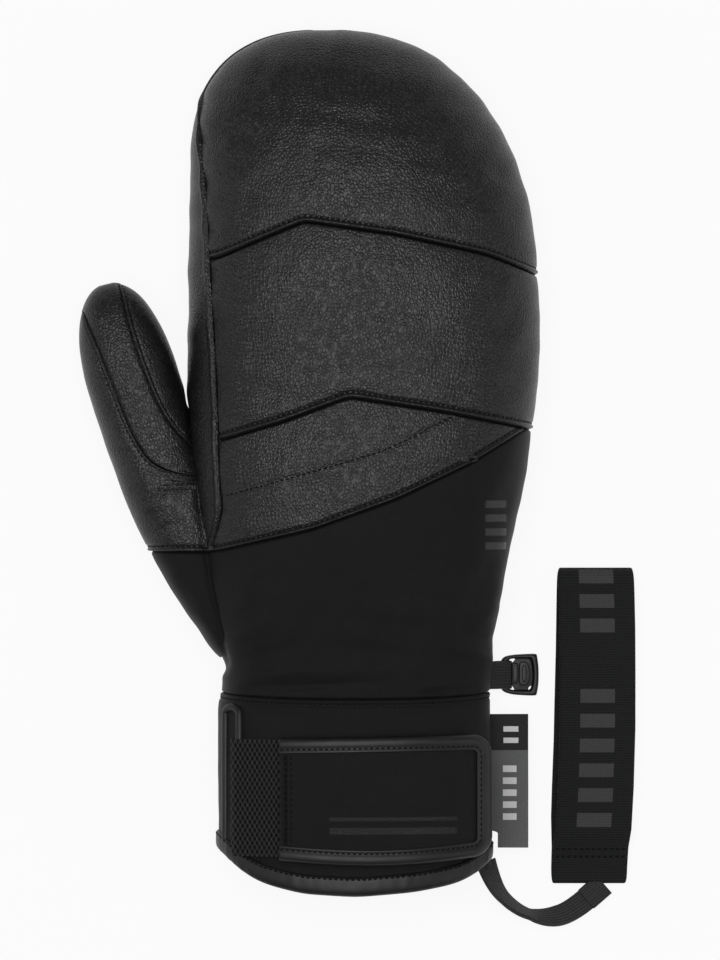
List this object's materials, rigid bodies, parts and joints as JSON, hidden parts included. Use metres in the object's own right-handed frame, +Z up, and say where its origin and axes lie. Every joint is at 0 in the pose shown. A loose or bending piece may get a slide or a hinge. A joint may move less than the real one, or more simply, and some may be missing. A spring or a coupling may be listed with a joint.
{
  "type": "ski mitten",
  "caption": "Padded leather ski mitten with separate thumb, wrist strap, glove clip and a leash with an elastic wrist loop, lying palm down.",
  "frame": {"origin": "middle of the flat face of the grip patch that the palm rests on", "axes": "+Y to the fingertips, +Z up out of the back of the hand, +X to the little finger side"},
  "size_m": [0.1848, 0.2983, 0.054],
  "materials": {
    "black_leather": "fine-grained semi-matte black leather",
    "grip_leather": "coarser grained black leather patch",
    "softshell": "matte black woven softshell",
    "smooth_binding": "smooth black binding tape",
    "membrane_film": "thin white waterproof film",
    "insulation": "lofty white fibre wadding",
    "fleece": "short-pile black fleece",
    "mesh_elastic": "woven black elastic with a diamond pattern",
    "knit_elastic": "knitted charcoal elastic",
    "loop_tape": "black loop tape",
    "hook_tape": "black hook tape",
    "ribbed_webbing": "ribbed black webbing",
    "clip_plastic": "satin black plastic",
    "woven_label": "grey woven label with a dark head"
  },
  "bodies": {
    "mitten": {"fingertip_back_panel": "black_leather", "knuckle_back_panel": "black_leather", "lower_back_panel": "black_leather", "hand_back_panel": "softshell", "index_side_panel": "black_leather", "palm_panel": "black_leather", "palm_grip_patch": "grip_leather", "thumb_gusset": "softshell", "thumb_root_padding": "insulation", "membrane_insert": "membrane_film", "back_insulation": "insulation", "palm_insulation": "insulation", "back_lining": "fleece", "palm_lining": "fleece", "wrist_elastic": "mesh_elastic", "cuff_back_panel": "softshell", "cuff_palm_panel": "softshell", "cuff_lining": "fleece", "cuff_hem_binding": "smooth_binding", "slot_binding": "smooth_binding", "strap_elastic": "mesh_elastic", "strap_loop_patch": "loop_tape", "clip_webbing": "ribbed_webbing", "leash_anchor": "ribbed_webbing", "leash_webbing": "ribbed_webbing", "leash_tack": "ribbed_webbing", "wrist_loop": "knit_elastic"},
    "thumb": {"thumb_outer_panel": "black_leather", "thumb_center_strip": "black_leather", "thumb_inner_panel": "black_leather", "thumb_palm_panel": "black_leather", "thumb_base_panel": "softshell", "thumb_membrane": "membrane_film", "thumb_insulation": "insulation", "thumb_lining": "fleece"},
    "strap_tab": {"strap_face": "softshell", "strap_binding": "smooth_binding", "strap_hook_patch": "hook_tape"},
    "clip_hook": {"clip_frame": "clip_plastic"},
    "clip_tongue": {"clip_tongue": "clip_plastic"},
    "side_label": {"side_label": "woven_label"}
  },
  "joints": [
    {"name": "thumb_flex", "type": "hinge", "parent": "mitten", "child": "thumb", "pos_m": [-0.037, 0.016, 0.02], "axis": [-0.0788, 0.9969, 0], "range_deg": [-6, 20], "stiffness_Nm_per_rad": 0.3},
    {"name": "strap_open", "type": "hinge", "parent": "mitten", "child": "strap_tab", "pos_m": [-0.03, -0.12675, 0.04827], "axis": [0, -1, 0], "range_deg": [0, 150]},
    {"name": "clip_swing", "type": "hinge", "parent": "mitten", "child": "clip_hook", "pos_m": [0.0472, -0.0853, 0.0025], "axis": [0, -1, 0], "range_deg": [0, 62]},
    {"name": "clip_tongue_flex", "type": "hinge", "parent": "clip_hook", "child": "clip_tongue", "pos_m": [0.05185, -0.0853, 0.0025], "axis": [0, -1, 0], "range_deg": [-15, 15], "stiffness_Nm_per_rad": 0.02},
    {"name": "label_lift", "type": "hinge", "parent": "mitten", "child": "side_label", "pos_m": [0.04089, -0.12065, 0.009], "axis": [0, -1, 0], "range_deg": [0, 50], "stiffness_Nm_per_rad": 0.004}
  ]
}
